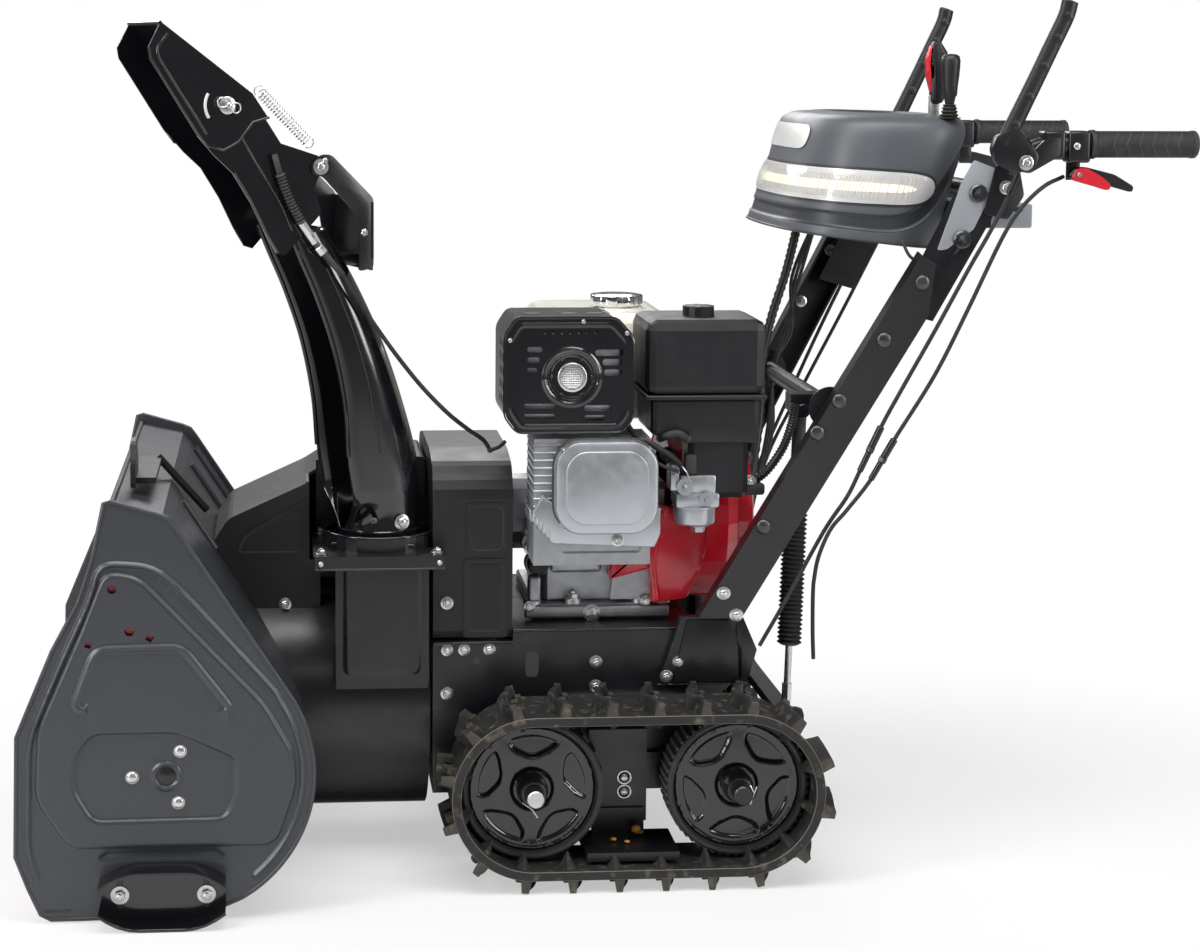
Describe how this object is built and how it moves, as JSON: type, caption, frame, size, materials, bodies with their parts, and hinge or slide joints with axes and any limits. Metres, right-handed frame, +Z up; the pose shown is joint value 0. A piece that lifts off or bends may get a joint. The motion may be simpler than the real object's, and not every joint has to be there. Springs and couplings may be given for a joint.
{
  "type": "two stage snowblower",
  "caption": "Self-propelled snowblower on rubber tracks: an auger and impeller feed a turning chute, driven by a petrol engine, steered from a handlebar with levers and a console.",
  "frame": {"origin": "on the ground, under the middle of the machine's box", "axes": "+X to the operator at the rear, +Y to the machine's right seen by the operator, +Z up; the auger faces -X"},
  "size_m": [1.564, 0.848, 1.19],
  "materials": {
    "housing_paint": "satin dark grey powder coat",
    "black_paint": "gloss black powder coat",
    "red_paint": "gloss red enamel",
    "black_plastic": "fine grained moulded black",
    "grey_plastic": "satin moulded grey",
    "red_plastic": "satin moulded red",
    "rubber": "matt black rubber",
    "steel": "zinc plated",
    "chrome": "polished",
    "cast_aluminium": "sand cast, silver painted",
    "tank_paint": "gloss cream enamel",
    "clear_lens": "clear moulded lens"
  },
  "bodies": {
    "chassis": {"air_cleaner_case": "black_plastic", "air_cleaner_lid": "black_plastic", "auger_gearbox": "black_paint", "auger_housing": "housing_paint", "belt_cover": "black_plastic", "chute_flange": "black_paint", "clean_out_tool": "black_plastic", "clutch_cable": "rubber", "column_crossbar": "black_paint", "console_bracket": "black_paint", "console_shell": "grey_plastic", "deflector_cable": "rubber", "engine_block": "cast_aluminium", "fan_housing": "red_paint", "front_cover": "black_plastic", "fuel_tank": "tank_paint", "grip_left": "rubber", "grip_right": "rubber", "handle_column_left": "black_paint", "handle_column_right": "black_paint", "handlebar": "black_paint", "headlight_lens": "clear_lens", "impeller_housing": "black_paint", "main_frame": "black_paint", "muffler": "black_paint", "rocker_cover": "cast_aluminium", "scraper_blade": "black_paint", "side_plate_left": "housing_paint", "side_plate_right": "housing_paint", "skid_shoe_left": "black_paint", "skid_shoe_right": "black_paint", "steer_cable": "rubber", "strut_cylinder": "rubber", "transmission": "black_paint"},
    "auger": {"auger_shaft": "steel", "auger_flight_left": "red_paint", "auger_flight_right": "red_paint"},
    "impeller": {"impeller": "red_paint"},
    "chute": {"chute": "black_paint", "deflector_spring": "steel"},
    "deflector_lower": {"deflector_lower": "black_paint"},
    "deflector_upper": {"deflector_upper": "black_paint"},
    "clutch_lever_left": {"clutch_lever_left": "black_plastic"},
    "clutch_lever_right": {"clutch_lever_right": "black_plastic"},
    "steer_trigger_left": {"steer_trigger_left": "black_plastic"},
    "steer_trigger_right": {"steer_trigger_right": "black_plastic"},
    "height_trigger": {"height_trigger": "red_plastic"},
    "gear_lever": {"gear_lever": "steel"},
    "joystick_boot": {"joystick_boot": "black_plastic"},
    "joystick": {"joystick": "black_plastic"},
    "track_frame": {"track_frame": "black_paint", "track_belt_left": "rubber", "track_belt_right": "rubber"},
    "drive_wheel_left": {"drive_wheel_left": "black_paint"},
    "drive_wheel_right": {"drive_wheel_right": "black_paint"},
    "idler_wheel_left": {"idler_wheel_left": "black_paint"},
    "idler_wheel_right": {"idler_wheel_right": "black_paint"},
    "strut_rod": {"strut_rod": "steel"},
    "recoil_grip": {"recoil_grip": "black_plastic"},
    "fuel_cap": {"fuel_cap": "chrome"}
  },
  "joints": [
    {"name": "impeller_spin", "type": "hinge", "parent": "chassis", "child": "impeller", "pos_m": [-0.235, 0, 0.21], "axis": [1, 0, 0], "continuous": true},
    {"name": "auger_spin", "type": "hinge", "parent": "chassis", "child": "auger", "pos_m": [-0.588, 0, 0.192], "axis": [0, 1, 0], "continuous": true},
    {"name": "chute_turn", "type": "hinge", "parent": "chassis", "child": "chute", "pos_m": [-0.304, -0.13, 0.4445], "axis": [0, 0, 1], "range_deg": [-120, 80], "deforming": ["deflector_cable"]},
    {"name": "deflector_tilt", "type": "hinge", "parent": "chute", "child": "deflector_lower", "pos_m": [-0.4085, -0.168, 0.968], "axis": [0.342, -0.9397, 0], "range_deg": [0, 35], "deforming": ["deflector_spring"]},
    {"name": "cap_tilt", "type": "hinge", "parent": "deflector_lower", "child": "deflector_upper", "pos_m": [-0.5288, -0.2118, 1.0488], "axis": [0.342, -0.9397, 0], "range_deg": [0, 21]},
    {"name": "clutch_press_left", "type": "hinge", "parent": "chassis", "child": "clutch_lever_left", "pos_m": [0.54, -0.297, 0.977], "axis": [0, 1, 0], "range_deg": [0, 56], "stiffness_Nm_per_rad": 1.5, "springref_deg": -22.92},
    {"name": "clutch_press_right", "type": "hinge", "parent": "chassis", "child": "clutch_lever_right", "pos_m": [0.54, 0.297, 0.977], "axis": [0, 1, 0], "range_deg": [0, 56], "stiffness_Nm_per_rad": 1.5, "springref_deg": -22.92},
    {"name": "steer_squeeze_left", "type": "hinge", "parent": "chassis", "child": "steer_trigger_left", "pos_m": [0.62, -0.266, 0.96], "axis": [0, -1, 0], "range_deg": [0, 22], "stiffness_Nm_per_rad": 0.6, "springref_deg": -22.92},
    {"name": "steer_squeeze_right", "type": "hinge", "parent": "chassis", "child": "steer_trigger_right", "pos_m": [0.62, 0.266, 0.96], "axis": [0, -1, 0], "range_deg": [0, 22], "stiffness_Nm_per_rad": 0.6, "springref_deg": -22.92},
    {"name": "height_squeeze", "type": "hinge", "parent": "chassis", "child": "height_trigger", "pos_m": [0.62, -0.266, 0.96], "axis": [0, -1, 0], "range_deg": [0, 15], "stiffness_Nm_per_rad": 0.6, "springref_deg": -22.92},
    {"name": "gear_shift", "type": "hinge", "parent": "chassis", "child": "gear_lever", "pos_m": [0.467, -0.115, 0.965], "axis": [0, 1, 0], "range_deg": [-15, 15]},
    {"name": "stick_side", "type": "hinge", "parent": "chassis", "child": "joystick_boot", "pos_m": [0.476, -0.16, 1.036], "axis": [1, 0, 0], "range_deg": [-15, 15], "stiffness_Nm_per_rad": 0.3},
    {"name": "stick_fore", "type": "hinge", "parent": "joystick_boot", "child": "joystick", "pos_m": [0.476, -0.16, 1.036], "axis": [0, 1, 0], "range_deg": [-15, 15], "stiffness_Nm_per_rad": 0.3},
    {"name": "track_tilt", "type": "hinge", "parent": "chassis", "child": "track_frame", "pos_m": [-0.103, 0, 0.13], "axis": [0, 1, 0], "range_deg": [-6, 5]},
    {"name": "drive_spin_left", "type": "hinge", "parent": "track_frame", "child": "drive_wheel_left", "pos_m": [-0.103, -0.25, 0.13], "axis": [0, 1, 0], "continuous": true},
    {"name": "drive_spin_right", "type": "hinge", "parent": "track_frame", "child": "drive_wheel_right", "pos_m": [-0.103, 0.25, 0.13], "axis": [0, 1, 0], "continuous": true},
    {"name": "idler_spin_left", "type": "hinge", "parent": "track_frame", "child": "idler_wheel_left", "pos_m": [0.177, -0.25, 0.13], "axis": [0, 1, 0], "continuous": true},
    {"name": "idler_spin_right", "type": "hinge", "parent": "track_frame", "child": "idler_wheel_right", "pos_m": [0.177, 0.25, 0.13], "axis": [0, 1, 0], "continuous": true},
    {"name": "strut_slide", "type": "slide", "parent": "chassis", "child": "strut_rod", "axis": [-0.0272, 0, -0.9996], "range_m": [-0.04, 0.034]},
    {"name": "recoil_pull", "type": "slide", "parent": "chassis", "child": "recoil_grip", "axis": [1, 0, 0], "range_m": [0, 0.45], "stiffness_N_per_m": 20, "springref_m": -0.2},
    {"name": "fuel_cap_turn", "type": "hinge", "parent": "chassis", "child": "fuel_cap", "pos_m": [0.048, 0.05, 0.754], "axis": [0, 0, 1], "range_deg": [0, 90]}
  ],
  "couplings": [
    {"joint": "auger_spin", "follows": "impeller_spin", "ratio": 0.1},
    {"joint": "cap_tilt", "follows": "deflector_tilt", "ratio": 0.6},
    {"joint": "idler_spin_left", "follows": "drive_spin_left", "ratio": 1},
    {"joint": "idler_spin_right", "follows": "drive_spin_right", "ratio": 1},
    {"joint": "strut_slide", "follows": "track_tilt", "m_per_rad": 0.3688}
  ]
}
